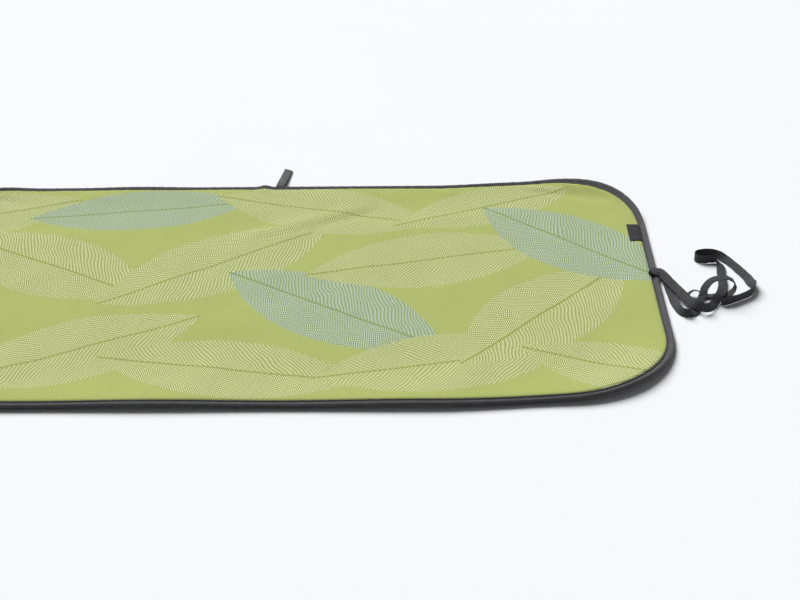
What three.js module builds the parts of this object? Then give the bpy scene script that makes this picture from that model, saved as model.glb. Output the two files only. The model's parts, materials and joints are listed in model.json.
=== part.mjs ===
// Ironing pad: a layered, bound mat with a printed cover, a hanging loop, a label and a tie of flat tape.
// Millimetres, Z up. The origin is the middle of the underside, +Y the back edge and +X the end with the tie.
import * as THREE from 'three';

// Outline of the pad
const pad_length = 1200;
const pad_width = 650;
const corner_radius = 160;
const corner_steps = 13;

// Layers, from the table up
const backing_thickness = 0.5;
const foam_thickness = 2.2;
const felt_thickness = 2.2;
const cover_thickness = 0.5;

// Edge binding, a strip folded over the trimmed edges of the layers
const binding_width = 10.5;
const binding_ply = 0.8;
const edge_height = 5;
const roll_steps = 8;

// Fits, and the rise from the pressed edge to the flat middle
const seat_clearance = 0.3;
const turn_clearance = 0.3;
const crown_inset = 32;
const crown_rings = 5;

// Flat tape of the tie and the loop
const tape_width = 14;
const tape_thickness = 1.2;
const tape_bevel = 0.4;

// Hanging loop on the back edge: a folded length of the tape that lies back on the table
const loop_middle_x = 3;
const loop_seam_inset = 4;
const loop_length = 74;
const loop_gap = 6;
const loop_sewn_length = 5;
const loop_drop_length = 34;
const loop_lean = 0.12;
const loop_slope = 0.6;

// Label, a woven strip folded in half and sewn in beside the binding
const label_length = 52;
const label_reach = 18.5;
const label_ply = 0.35;
const label_slit = 0.4;
const label_middle_y = 150;
const label_root_gap = 0.5;

// Tie: the fold sewn on the binding, and the two tails that leave it
const tie_middle_y = 20;
const tie_seam_inset = 5.5;
const tie_reach = 7;
const tie_fold_back = 4;
const tie_fold_radius = 4;
const tie_hump = 13;
const tie_turn = 18;
const steps_per_span = 2;

// Route of each tail from the fold: way out from the end of the pad, way along the end,
// height of the lower edge, then the heading and the tilt of the tape's width in degrees
const upper_tail_route = [
  [4, -8.5, 10.6, 50, 10],
  [9, -20, 8.2, 36, 18],
  [16.5, -38, 6.5, 28, 20],
  [25, -62, 6.5, 27, 25],
  [33.5, -86, 5.4, 30, 40],
  [41, -100, 5.6, 50, 62],
  [50.5, -106.5, 4.4, 90, 75],
  [60, -102.5, 2.2, 130, 64],
  [67.5, -92, 1.6, 148, 44],
  [75, -77, 2.8, 153, 29],
  [83.5, -61, 5.4, 155, 20],
  [90, -40, 4.8, 165, 14],
  [93.6, -15, 3, 173, 9],
  [96, 8, 1.6, 177, 8],
  [98, 27, 1, 188, 16],
  [95.5, 37.5, 0.6, 222, 48],
  [87, 41.5, 0.3, 255, 78],
  [75.5, 41.5, 0.2, 262, 88],
  [65.5, 44.5, 0.2, 230, 90],
  [62.5, 51.5, 0.2, 180, 90],
  [66.5, 59, 0.2, 122, 88],
  [77, 62, 0.3, 92, 84],
  [89.5, 60.5, 0.6, 75, 68],
  [100.5, 56, 0.8, 52, 44],
  [109.2, 47.5, 0.8, 34, 22],
  [117, 33.5, 0.8, 26, 15],
  [124.5, 15.5, 0.7, 21, 14],
  [131.2, -5, 0.6, 15, 18],
  [134, -21.5, 0.5, 9, 30],
  [136.2, -33.5, 0.3, -2, 58],
  [135.8, -43.5, 0.2, -25, 82],
  [131, -54.5, 0.2, -48, 88],
  [120.5, -64.5, 0.2, -55, 86],
  [109, -73, 0.2, -60, 82],
  [97, -79.5, 0.2, -66, 80],
  [88, -83, 0.2, -72, 82],
  [80.5, -84.5, 0.2, -78, 86],
];
const lower_tail_route = [
  [7, -7.5, 4.3, 55, 2],
  [10.4, -19, 3, 35, 3],
  [12, -38, 1.6, 20, 8],
  [13.4, -62, 1, 15, 9],
  [15, -86, 0.7, 15, 38],
  [17.6, -105, 0.4, 28, 70],
  [23.5, -115, 0.2, 72, 84],
  [31.5, -114.5, 0.2, 115, 60],
  [37.5, -107.5, 0.5, 136, 22],
  [42.5, -98, 1.1, 142, 5],
  [47.5, -87.5, 3.6, 140, 3],
  [53.5, -78, 11.2, 132, 0],
  [58.5, -69.5, 22, 120, 0],
  [67.5, -63, 30, 111, 0],
  [82.5, -58.8, 32.6, 103, 0],
  [94, -56.5, 30.2, 97, 0],
  [102.5, -54.5, 22.9, 94, 0],
  [105, -53.5, 13.2, 94, 0],
  [99.5, -54.5, 4.8, 95, 0],
  [89.5, -56.5, 1.2, 96, 0],
  [75, -58.5, 0.5, 97, 0],
  [61, -59.5, 2, 96, -10],
  [52.5, -59, 6.6, 95, -22],
  [45, -58.5, 8, 93, -25],
  [39, -59, 5.6, 92, -22],
  [35.5, -60, 2.6, 92, -14],
];

// Sizes that follow from the ones above
const pad_height = backing_thickness + foam_thickness + felt_thickness + cover_thickness;
const roll_radius = edge_height / 2;
const cavity_radius = roll_radius - binding_ply;
const seam_inset = binding_width + seat_clearance;
const end_x = pad_length / 2;
const back_y = pad_width / 2;

// Materials
function cloth(colour, roughness) {
  return new THREE.MeshStandardMaterial({ color: colour, roughness, metalness: 0 });
}
const cover_cotton = cloth(0xb3bd73, 0.9);
const felt_wool = cloth(0xd8d3c4, 1);
const foam_sheet = cloth(0xe6e2d2, 0.95);
const backing_cotton = cloth(0xc9c6bb, 0.9);
const grey_binding = cloth(0x434344, 0.85);
const grey_tape = cloth(0x48484a, 0.85);
const grey_label = cloth(0x4b4b4e, 0.75);

const ironing_pad = new THREE.Group();
ironing_pad.name = 'ironing_pad';

function addNamed(name, geometry, material) {
  const mesh = new THREE.Mesh(geometry, material);
  mesh.name = name;
  ironing_pad.add(mesh);
}

// Closed surface from points and triangles, turned so that its faces look outwards
function addSolid(name, points, triangles, material) {
  let volume = 0;
  for (const [a, b, c] of triangles) {
    volume += points[a].dot(new THREE.Vector3().crossVectors(points[b], points[c]));
  }
  const facing = volume > 0 ? triangles : triangles.map(([a, b, c]) => [a, c, b]);
  const places = points.flatMap((point) => [point.x, point.y, point.z]);
  const geometry = new THREE.BufferGeometry();
  geometry.setAttribute('position', new THREE.Float32BufferAttribute(places, 3));
  geometry.setIndex(facing.flat());
  geometry.computeVertexNormals();
  addNamed(name, geometry, material);
}

// Triangles that join rings of equally many points, each ring closed on itself
function joinRings(rings, count, closed) {
  const triangles = [];
  const spans = closed ? rings : rings - 1;
  for (let ring = 0; ring < spans; ring += 1) {
    const next = (ring + 1) % rings;
    for (let i = 0; i < count; i += 1) {
      const j = (i + 1) % count;
      triangles.push([ring * count + i, ring * count + j, next * count + j]);
      triangles.push([ring * count + i, next * count + j, next * count + i]);
    }
  }
  return triangles;
}

// Flat ends that close the first ring and the last
function capRings(rings, count) {
  const triangles = [];
  const last = (rings - 1) * count;
  for (let i = 1; i < count - 1; i += 1) {
    triangles.push([0, i + 1, i]);
    triangles.push([last, last + i, last + i + 1]);
  }
  return triangles;
}

// The pad's rounded outline, drawn in by an inset and set at a height
function outline(inset, height) {
  const points = [];
  const radius = corner_radius - inset;
  for (let corner = 0; corner < 4; corner += 1) {
    const side_x = corner === 0 || corner === 3 ? 1 : -1;
    const side_y = corner < 2 ? 1 : -1;
    for (let step = 0; step <= corner_steps; step += 1) {
      const angle = (corner + step / corner_steps) * Math.PI / 2;
      const x = side_x * (end_x - corner_radius) + radius * Math.cos(angle);
      const y = side_y * (back_y - corner_radius) + radius * Math.sin(angle);
      points.push(new THREE.Vector3(x, y, height));
    }
  }
  return points;
}

// Solid from a profile of [inset, height] pairs carried round the outline
function carryRound(name, profile, closed, material) {
  const rings = profile.map(([inset, height]) => outline(inset, height));
  const count = rings[0].length;
  const sides = joinRings(rings.length, count, closed);
  const caps = closed ? [] : capRings(rings.length, count);
  addSolid(name, rings.flat(), [...sides, ...caps], material);
}

// Height inside the binding of a level that lies at the given height in the middle of the pad
function pressedHeight(level) {
  return THREE.MathUtils.lerp(binding_ply, edge_height - binding_ply, level / pad_height);
}

// Height of a level at an inset: pressed at the seam, full where the pad is flat
function crownHeight(level, inset) {
  const along = THREE.MathUtils.smoothstep(inset, seam_inset, crown_inset);
  return THREE.MathUtils.lerp(pressedHeight(level), level, along);
}

// Inset of the trimmed edge, which follows the inside of the binding's roll
function trimmedInset(height) {
  const radius = cavity_radius - seat_clearance;
  const off = height - roll_radius;
  return roll_radius - Math.sqrt(Math.max(0, radius * radius - off * off));
}

// One layer between two levels of the pad
function addLayer(name, low, high, material) {
  const insets = [];
  for (let ring = 0; ring <= crown_rings; ring += 1) {
    insets.push(THREE.MathUtils.lerp(crown_inset, seam_inset, ring / crown_rings));
  }
  const under = insets.map((inset) => [inset, crownHeight(low, inset)]);
  const over = insets.map((inset) => [inset, crownHeight(high, inset)]).reverse();
  const foot = pressedHeight(low);
  const head = pressedHeight(high);
  const edge = [foot, (foot + head) / 2, head].map((height) => [trimmedInset(height), height]);
  carryRound(name, [...under, ...edge, ...over], false, material);
}

const foam_top = backing_thickness + foam_thickness;
const felt_top = foam_top + felt_thickness;
addLayer('backing_cloth', 0, backing_thickness, backing_cotton);
addLayer('foam_layer', backing_thickness, foam_top, foam_sheet);
addLayer('felt_layer', foam_top, felt_top, felt_wool);
addLayer('cover_cloth', felt_top, pad_height, cover_cotton);

// Edge binding: one side of the folded strip, from the top lip round the roll to the bottom lip
function foldedSide(radius) {
  const points = [[binding_width, roll_radius + radius]];
  for (let step = 0; step <= roll_steps; step += 1) {
    const angle = (0.5 - step / roll_steps) * Math.PI;
    points.push([roll_radius - radius * Math.cos(angle), roll_radius + radius * Math.sin(angle)]);
  }
  points.push([binding_width, roll_radius - radius]);
  return points;
}
const binding_profile = [...foldedSide(roll_radius), ...foldedSide(cavity_radius).reverse()];
carryRound('edge_binding', binding_profile, true, grey_binding);

// Hanging loop: the tape's two ends lie together at the seam and part round an eye before the fold
const eye_half = loop_gap / 2;
const loop_half = eye_half + tape_thickness;
const fold_reach = loop_length - loop_half;
const swell = fold_reach * 0.55;
const eye_foot = loop_sewn_length + 2 * tape_thickness;
const loop_shape = new THREE.Shape();
loop_shape.absarc(0, 0, tape_thickness, Math.PI, 2 * Math.PI, false);
loop_shape.lineTo(tape_thickness, loop_sewn_length);
loop_shape.bezierCurveTo(tape_thickness, swell, loop_half, swell, loop_half, fold_reach);
loop_shape.absarc(0, fold_reach, loop_half, 0, Math.PI, false);
loop_shape.bezierCurveTo(-loop_half, swell, -tape_thickness, swell, -tape_thickness, loop_sewn_length);
const loop_eye = new THREE.Path();
loop_eye.moveTo(0, eye_foot);
loop_eye.bezierCurveTo(0, swell, eye_half, swell, eye_half, fold_reach);
loop_eye.absarc(0, fold_reach, eye_half, 0, Math.PI, false);
loop_eye.bezierCurveTo(-eye_half, swell, 0, swell, 0, eye_foot);
loop_shape.holes.push(loop_eye);
const loop_geometry = new THREE.ExtrudeGeometry(loop_shape, {
  depth: tape_width,
  bevelEnabled: false,
  curveSegments: 9,
});
loop_geometry.translate(0, 0, -tape_width / 2);

// The loop goes out over the edge and down to the table, a little askew, and its fold slopes
const loop_pivot_z = edge_height + turn_clearance + tape_thickness;
const loop_drop = loop_pivot_z - loop_half - turn_clearance;
const loop_places = loop_geometry.getAttribute('position');
for (let i = 0; i < loop_places.count; i += 1) {
  const off_middle = loop_places.getX(i);
  const out = loop_places.getY(i);
  const across = loop_places.getZ(i);
  const share = THREE.MathUtils.smoothstep(out, 0, loop_length);
  const down = loop_drop * THREE.MathUtils.smoothstep(out, loop_sewn_length, loop_drop_length);
  const x = loop_middle_x + across + loop_lean * out;
  const y = back_y - loop_seam_inset + out - loop_slope * across * share;
  const z = loop_pivot_z - down - off_middle;
  loop_places.setXYZ(i, x, y, z);
}
loop_geometry.computeVertexNormals();
addNamed('hanging_loop', loop_geometry, grey_tape);

// Label: two plies joined by the fold at the free edge, lying up the slope of the crown
const label_half = label_slit / 2 + label_ply;
const label_fold = label_reach - label_half;
const label_shape = new THREE.Shape();
label_shape.moveTo(0, -label_half);
label_shape.lineTo(label_fold, -label_half);
label_shape.absarc(label_fold, 0, label_half, -Math.PI / 2, Math.PI / 2, false);
label_shape.lineTo(0, label_half);
label_shape.lineTo(0, label_slit / 2);
label_shape.lineTo(label_fold, label_slit / 2);
label_shape.absarc(label_fold, 0, label_slit / 2, Math.PI / 2, -Math.PI / 2, true);
label_shape.lineTo(0, -label_slit / 2);
label_shape.closePath();
const label_geometry = new THREE.ExtrudeGeometry(label_shape, {
  depth: label_length,
  bevelEnabled: false,
  curveSegments: 5,
});
const lip_radius = corner_radius - binding_width;
const past_corner = Math.max(0, label_middle_y + label_length / 2 - (back_y - corner_radius));
const lip_facet_dip = lip_radius * (1 - Math.cos(Math.PI / 4 / corner_steps));
const lip_depth = Math.sqrt(lip_radius * lip_radius - past_corner * past_corner);
const label_set_back = lip_radius - lip_depth + lip_facet_dip;
const label_root_inset = binding_width + label_root_gap + label_half + label_set_back;
const label_root_rise = crownHeight(pad_height, label_root_inset);
const label_rise = crownHeight(pad_height, label_root_inset + label_reach) - label_root_rise;
const label_pitch = Math.atan2(label_rise, label_reach);
const label_pivot_z = label_root_rise + turn_clearance + label_half;
label_geometry.rotateZ(label_pitch);
label_geometry.applyMatrix4(new THREE.Matrix4().makeBasis(
  new THREE.Vector3(-1, 0, 0),
  new THREE.Vector3(0, 0, 1),
  new THREE.Vector3(0, 1, 0),
));
label_geometry.translate(end_x - label_root_inset, label_middle_y - label_length / 2, label_pivot_z);
addNamed('label', label_geometry, grey_label);

// Tie fold: the middle of the tape, sewn flat on the binding and folded back over itself in a hump
const lower_ply_z = edge_height + tape_thickness / 2;
const fold_z = lower_ply_z + tie_fold_radius;
const upper_ply_z = fold_z + tie_fold_radius;
const hump_bend = (tie_reach + tie_fold_back) / 3;
const fold_path = new THREE.CurvePath();
fold_path.add(new THREE.LineCurve(
  new THREE.Vector2(tie_reach, lower_ply_z),
  new THREE.Vector2(-tie_fold_back, lower_ply_z),
));
fold_path.add(new THREE.EllipseCurve(
  -tie_fold_back,
  fold_z,
  tie_fold_radius,
  tie_fold_radius,
  -Math.PI / 2,
  Math.PI / 2,
  true,
));
fold_path.add(new THREE.CubicBezierCurve(
  new THREE.Vector2(-tie_fold_back, upper_ply_z),
  new THREE.Vector2(hump_bend - tie_fold_back, upper_ply_z),
  new THREE.Vector2(tie_reach - hump_bend, tie_hump),
  new THREE.Vector2(tie_reach, tie_hump),
));
const fold_line = fold_path.getPoints(8);
const fold_outside = [];
const fold_inside = [];
fold_line.forEach((point, i) => {
  const before = fold_line[Math.max(0, i - 1)];
  const after = fold_line[Math.min(fold_line.length - 1, i + 1)];
  const way = after.clone().sub(before).normalize();
  const off = new THREE.Vector2(-way.y, way.x).multiplyScalar(tape_thickness / 2);
  fold_outside.push(point.clone().sub(off));
  fold_inside.push(point.clone().add(off));
});
const fold_shape = new THREE.Shape([...fold_outside, ...fold_inside.reverse()]);
const fold_geometry = new THREE.ExtrudeGeometry(fold_shape, { depth: tape_width, bevelEnabled: false });
fold_geometry.translate(0, 0, -tape_width / 2);
fold_geometry.rotateX(Math.PI / 2);
fold_geometry.rotateZ(-THREE.MathUtils.degToRad(tie_turn));
fold_geometry.translate(end_x - tie_seam_inset, tie_middle_y, 0);
addNamed('tie_fold', fold_geometry, grey_tape);

// One number of a route between its second and third of four neighbouring values
function between(a, b, c, d, share) {
  const bend = 2 * a - 5 * b + 4 * c - d;
  const turn = 3 * b - a - 3 * c + d;
  return b + 0.5 * share * (c - a + share * (bend + share * turn));
}

// Middle point and width direction of a tail at a row of its route
function tapePlace([out, along, lift, heading, tilt]) {
  const turn = THREE.MathUtils.degToRad(heading);
  const lean = THREE.MathUtils.degToRad(tilt);
  const level = Math.cos(lean);
  const middle = lift + tape_thickness / 2 * level + tape_width / 2 * Math.abs(Math.sin(lean));
  return {
    point: new THREE.Vector3(end_x + out, tie_middle_y + along, middle),
    side: new THREE.Vector3(level * Math.cos(turn), level * Math.sin(turn), Math.sin(lean)),
  };
}

// Section of the tape as [across, through] pairs
const flank = tape_width / 2;
const face = tape_thickness / 2;
const tape_section = [
  [-flank, tape_bevel - face],
  [tape_bevel - flank, -face],
  [flank - tape_bevel, -face],
  [flank, tape_bevel - face],
  [flank, face - tape_bevel],
  [flank - tape_bevel, face],
  [tape_bevel - flank, face],
  [-flank, face - tape_bevel],
];

// A tail of the tie: the section carried along its route, which leaves the fold squarely
function addTail(name, start_lift, route, material) {
  const turn = THREE.MathUtils.degToRad(tie_turn);
  const leaving = (reach) => [
    reach * Math.cos(turn) - tie_seam_inset,
    -reach * Math.sin(turn),
    start_lift,
    90 - tie_turn,
    0,
  ];
  const behind = leaving(tie_reach - tape_width / 2);
  const start = leaving(tie_reach + seat_clearance);
  const last = route[route.length - 1];
  const ahead = last.map((value, i) => 2 * value - route[route.length - 2][i]);
  const rows = [behind, start, ...route, ahead];
  const places = [];
  for (let span = 1; span < rows.length - 2; span += 1) {
    const steps = span === rows.length - 3 ? steps_per_span + 1 : steps_per_span;
    for (let step = 0; step < steps; step += 1) {
      const share = step / steps_per_span;
      const row = start.map((_, i) => between(
        rows[span - 1][i],
        rows[span][i],
        rows[span + 1][i],
        rows[span + 2][i],
        share,
      ));
      places.push(tapePlace(row));
    }
  }
  const points = [];
  places.forEach(({ point, side }, i) => {
    const before = i === 0 ? tapePlace(behind).point : places[i - 1].point;
    const after = places[Math.min(places.length - 1, i + 1)].point;
    const way = i === 0 ? point.clone().sub(before).normalize() : after.clone().sub(before).normalize();
    const across = side.clone().addScaledVector(way, -side.dot(way)).normalize();
    const through = new THREE.Vector3().crossVectors(way, across);
    for (const [s, t] of tape_section) {
      points.push(point.clone().addScaledVector(across, s).addScaledVector(through, t));
    }
  });
  const count = tape_section.length;
  const triangles = [...joinRings(places.length, count, false), ...capRings(places.length, count)];
  addSolid(name, points, triangles, material);
}
addTail('tie_tail_upper', tie_hump - tape_thickness / 2, upper_tail_route, grey_tape);
addTail('tie_tail_lower', edge_height, lower_tail_route, grey_tape);

export default ironing_pad;
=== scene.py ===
import json
import math

import bpy
import numpy as np
from mathutils import Matrix, Vector


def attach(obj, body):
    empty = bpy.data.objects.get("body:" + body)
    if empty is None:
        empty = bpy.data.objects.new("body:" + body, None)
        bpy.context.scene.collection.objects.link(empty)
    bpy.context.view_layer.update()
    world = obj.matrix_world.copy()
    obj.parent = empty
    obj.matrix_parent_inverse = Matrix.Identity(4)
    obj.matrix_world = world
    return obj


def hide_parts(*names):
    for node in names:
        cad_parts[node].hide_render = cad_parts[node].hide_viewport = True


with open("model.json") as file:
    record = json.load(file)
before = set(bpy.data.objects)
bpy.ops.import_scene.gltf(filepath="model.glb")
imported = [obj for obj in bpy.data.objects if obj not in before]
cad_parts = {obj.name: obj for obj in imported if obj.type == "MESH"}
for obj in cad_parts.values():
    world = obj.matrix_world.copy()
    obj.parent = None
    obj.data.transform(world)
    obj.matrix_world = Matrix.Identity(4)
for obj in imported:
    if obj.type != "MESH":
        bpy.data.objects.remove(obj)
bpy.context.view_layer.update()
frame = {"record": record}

mm = 0.001

# Outline of the pad
end_x = 600 * mm
back_y = 325 * mm
corner_radius = 160 * mm

# Layers at the flat middle of the pad, from the table up
backing_thickness = 0.5 * mm
foam_thickness = 2.2 * mm
felt_thickness = 2.2 * mm
cover_thickness = 0.5 * mm
foam_top = backing_thickness + foam_thickness
felt_top = foam_top + felt_thickness
pad_height = felt_top + cover_thickness

# Edge binding
binding_width = 10.5 * mm
binding_ply = 0.8 * mm
edge_height = 5.0 * mm
roll_radius = edge_height / 2
crown_inset = 26 * mm
seam_height = 3.6 * mm
cover_tuck = 5 * mm
lip_waver = 0.14 * mm
top_ripple = 0.18 * mm

# Lift of the pad's edges off the table
front_lift = 5.2 * mm
front_wave = 1.2 * mm
front_wave_length = 350 * mm
front_corner_lift = 3.6 * mm
front_curl_reach = 170 * mm
back_corner_lift = 16 * mm
back_edge_lift = 1.2 * mm
left_wave_lift = 4.2 * mm
middle_wave_lift = 1.9 * mm
back_curl_reach = 50 * mm
pucker_lift = 3.0 * mm

# Middle and half width of each lift: the first three as travel round the outline, the others along x
front_corner_place = (1000 * mm, 210 * mm)
back_corner_place = (1590 * mm, 163 * mm)
back_edge_place = (1780 * mm, 120 * mm)
left_wave_place = (-490 * mm, 95 * mm)
middle_wave_place = (-235 * mm, 110 * mm)
pucker_place = (-22 * mm, 16 * mm)

# Stretches over which a lift sets in or dies away, and over which the end is pulled askew
front_sets_in = (-470 * mm, -330 * mm)
front_dies_away = (960 * mm, 1140 * mm)
back_corner_sets_in = (1450 * mm, 1510 * mm)
pucker_sets_in = (back_y - 26 * mm, back_y - 6 * mm)
skew_stretch = (260 * mm, 480 * mm)
end_shift = 13 * mm

# Padding: where each layer starts to rise beside the seam, and how far the cover swells there
cover_groove = 10.8 * mm
filling_groove = 13.8 * mm
crown_fullness = 8
crown_roundness = 0.45
plump_height = 1.0 * mm
plump_reach = 80 * mm
unevenness = 0.16 * mm
gather_height = 0.28 * mm
gather_reach = 11 * mm
filling_slack = 0.4 * mm
filling_clearance = 0.05 * mm
filling_share = 0.7

# Spacing of each layer's mesh
cover_step = 5 * mm
backing_step = 8 * mm
filling_step = 12 * mm

# Settling of the cover
settle_step = 12 * mm
settle_frames = 20
settle_cap = 0.8 * mm
sewn_inset = 18 * mm
loose_hold = 0.12
looseness = 0.0006

# Stitches: pitch, length and thread radius
binding_stitch = (3.4 * mm, 2.7 * mm, 0.26 * mm)
tape_stitch = (3.0 * mm, 2.3 * mm, 0.2 * mm)
top_seam_inset = 8.8 * mm
under_seam_inset = 9.0 * mm

# Flat tape
tape_width = 14 * mm
tape_thickness = 1.2 * mm
tape_ease = 0.98
tape_slack = 0.55 * mm

# Tie
tie_middle_y = 20 * mm
tie_seam_inset = 5.5 * mm
tie_reach = 7 * mm
tie_fold_back = 4 * mm
tie_fold_radius = 4 * mm
tie_hump = 13 * mm
tie_turn = math.radians(18)
tie_gather = 0.26

# Hanging loop
loop_middle_x = 3 * mm
loop_seam_inset = 4 * mm
loop_length = 74 * mm
loop_gap = 0.6 * mm
loop_sewn_length = 5 * mm
loop_drop_length = 62 * mm
loop_lean = 0.12
loop_slope = 0.6
loop_foot_press = 0.35
loop_rise = 0.7 * mm
loop_rise_place = (50 * mm, 20 * mm)
loop_pivot_z = edge_height + 0.3 * mm + tape_thickness

# Label
label_length = 52 * mm
label_reach = 18.5 * mm
label_ply = 0.35 * mm
label_slit = 0.4 * mm
label_middle_y = 150 * mm
label_gap = 0.12 * mm
label_bend = 1.3 * mm
label_curl = 0.5 * mm
label_face_share = 0.997
label_tuck_inset = 8.5 * mm
label_root_sink = 0.4 * mm
hinges = {joint["name"]: joint["pos_m"] for joint in frame["record"]["behaviour"]["joints"]}
label_root_inset = end_x - hinges["label_flip"][0]


# Numbers that rise or fall smoothly

def smooth(value, low, high):
    share = np.clip((value - low) / (high - low), 0, 1)
    return share * share * (3 - 2 * share)


def bell(value, middle, half_width):
    share = np.clip(np.abs(value - middle) / half_width, 0, 1)
    return 0.5 + 0.5 * np.cos(np.pi * share)


def wave(place, length, shift):
    return np.sin(2 * np.pi * place / length + shift)


def between(a, b, c, d, share):
    """A value between b and c on a smooth curve through all four."""
    bend = 2 * a - 5 * b + 4 * c - d
    turn = 3 * b - a - 3 * c + d
    return b + 0.5 * share * (c - a + share * (bend + share * turn))


# The pad's outline and how it lies on the table

straight_x = 2 * (end_x - corner_radius)
straight_y = 2 * (back_y - corner_radius)
arc = corner_radius * math.pi / 2
outline_length = 2 * (straight_x + straight_y) + 4 * arc


def outline(travel):
    """Place and outward direction on the outline, going from the front edge round the end with the tie."""
    travel = np.mod(travel, outline_length)
    x, y, out_x, out_y = np.zeros((4, len(travel)))
    begin = 0.0
    sides = [(straight_x, 1, -1), (straight_y, 1, 1), (straight_x, -1, 1), (straight_y, -1, -1)]
    for side, (length, corner_x, corner_y) in enumerate(sides):
        facing = (side - 1) * math.pi / 2
        here = (travel >= begin) & (travel < begin + length + arc)
        along = travel[here] - begin
        back = np.maximum(length - along, 0)
        angle = facing + np.maximum(along - length, 0) / corner_radius
        out_x[here] = np.cos(angle)
        out_y[here] = np.sin(angle)
        x[here] = corner_x * straight_x / 2 + corner_radius * out_x[here] + back * math.sin(facing)
        y[here] = corner_y * straight_y / 2 + corner_radius * out_y[here] - back * math.cos(facing)
        begin += length + arc
    return x, y, out_x, out_y


def inset_of(x, y):
    """Distance in from the outline."""
    over_x = np.abs(x) - straight_x / 2
    over_y = np.abs(y) - straight_y / 2
    corner = np.hypot(np.maximum(over_x, 0), np.maximum(over_y, 0))
    inner = np.minimum(np.maximum(over_x, over_y), 0)
    return corner_radius - corner - inner


def edge_travel(x, y):
    """Travel along the outline to the nearest place on the edge, for the end with the tie."""
    over_x = np.maximum(x - straight_x / 2, 0)
    over_y = np.abs(y) - straight_y / 2
    angle = np.arctan2(over_x, np.maximum(over_y, 0.01 * mm))
    ahead = straight_x / 2 + np.minimum(x, straight_x / 2)
    from_front = ahead + corner_radius * angle + np.maximum(-over_y, 0)
    whole = 2 * (straight_x + arc) + straight_y
    return np.where(y < 0, from_front, whole - from_front)


def curled(inset, reach):
    """Share of an edge's lift at an inset, for a curl that starts at the given reach."""
    return np.maximum(1 - inset / reach, 0) ** 2


def pad_lift(x, y):
    """Height of the underside over the table: the front edge and both corners curl up, the back waves."""
    travel = edge_travel(x, y)
    inset = inset_of(x, y)
    on_front = smooth(x, *front_sets_in) * (1 - smooth(travel, *front_dies_away)) * (y < 0)
    front = (front_lift + front_wave * wave(x, front_wave_length, 3.6)) * on_front
    front = front + front_corner_lift * bell(travel, *front_corner_place)
    on_corner = bell(travel, *back_corner_place) * smooth(travel, *back_corner_sets_in)
    back = back_corner_lift * on_corner + back_edge_lift * bell(travel, *back_edge_place)
    waves = left_wave_lift * bell(x, *left_wave_place) + middle_wave_lift * bell(x, *middle_wave_place)
    back = back + waves * (y > 0)
    at_loop = bell(x, *pucker_place) * smooth(y, *pucker_sets_in)
    lift = front * curled(inset, front_curl_reach) + back * curled(inset, back_curl_reach)
    return lift + pucker_lift * at_loop


def lying(x, y):
    """Place on the table of a place on the flat pad: the end with the tie is pulled towards the back."""
    return x, y + end_shift * smooth(x, *skew_stretch)


def pressed_height(level):
    return binding_ply + (seam_height - 2 * binding_ply) * level / pad_height


def crown_height(level, inset, groove_inset=cover_groove):
    """Height of a level of the pad: pressed at the seam, plump beside its groove and level in the middle."""
    share = np.clip((inset - groove_inset) / (crown_inset - groove_inset), 0, 1)
    rise = (1 - (1 - share) ** crown_fullness) ** crown_roundness
    plump = plump_height * level / pad_height * (1 - smooth(inset, crown_inset, plump_reach))
    return pressed_height(level) * (1 - rise) + (level + plump) * rise


# Folds of the cover in millimetres: the two ends of each, its height and its half width
cover_folds = [
    (-50, 141, 165, 256, 1.5, 26),
    (70, 180, 190, 243, -0.8, 20),
    (60, -170, 87, -318, 0.7, 15),
    (395, 308, 490, 284, 2.2, 14),
    (435, 296, 560, 250, -2.5, 24),
    (-470, 285, -415, 258, -2.0, 20),
    (-330, 300, -240, 268, 0.9, 18),
    (230, 318, 300, 286, 0.9, 14),
    (545, -130, 470, -40, 0.8, 30),
]


def fold_height(x, y):
    """Height that the soft folds add to the cover."""
    total = np.zeros_like(x)
    for x0, y0, x1, y1, height, half_width in cover_folds:
        start = np.array([x0, y0]) * mm
        way = np.array([x1 - x0, y1 - y0]) * mm
        length = float(np.hypot(*way))
        way = way / length
        along = (x - start[0]) * way[0] + (y - start[1]) * way[1]
        aside = (y - start[1]) * way[0] - (x - start[0]) * way[1]
        reach = np.clip(along / length, 0, 1)
        swell = np.sqrt(np.maximum(np.sin(np.pi * reach), 0))
        total = total + height * mm * swell * bell(aside, 0.0, half_width * mm)
    return total


# Soft unevenness of the cover: shares of x and y, wave length in millimetres, shift and strength
soft_waves = [
    (0.9, 0.4, 143, 0.4, 1.0),
    (0.3, -1.0, 117, 2.1, 1.0),
    (1.0, 0.8, 211, 4.0, 1.0),
    (1.0, -0.2, 71, 1.3, 0.6),
]


def cover_waves(x, y):
    """Soft unevenness and folds of the padded cover, and small puckers that start at the seam."""
    inset = inset_of(x, y)
    soft = np.zeros_like(x)
    for along_x, along_y, length, shift, strength in soft_waves:
        soft = soft + strength * wave(along_x * x + along_y * y, length * mm, shift)
    soft = unevenness * soft * smooth(inset, 12 * mm, 45 * mm)
    soft = soft + fold_height(x, y) * smooth(inset, 10 * mm, 22 * mm)
    along = x + 0.9 * y
    gather = wave(along, 23 * mm, 0.3) * wave(along, 157 * mm, 1.0) + 0.5 * wave(along, 13 * mm, 2.0)
    fade = np.exp(-np.maximum(inset - binding_width, 0) / gather_reach)
    at_back = 0.35 + 0.65 * smooth(y, 0.0, 200 * mm)
    return soft + gather_height * gather * fade * at_back * smooth(inset, 8 * mm, 13 * mm)


# Meshes

def add_object(name, data):
    added = bpy.data.objects.new(name, data)
    bpy.context.scene.collection.objects.link(added)
    return added


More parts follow.
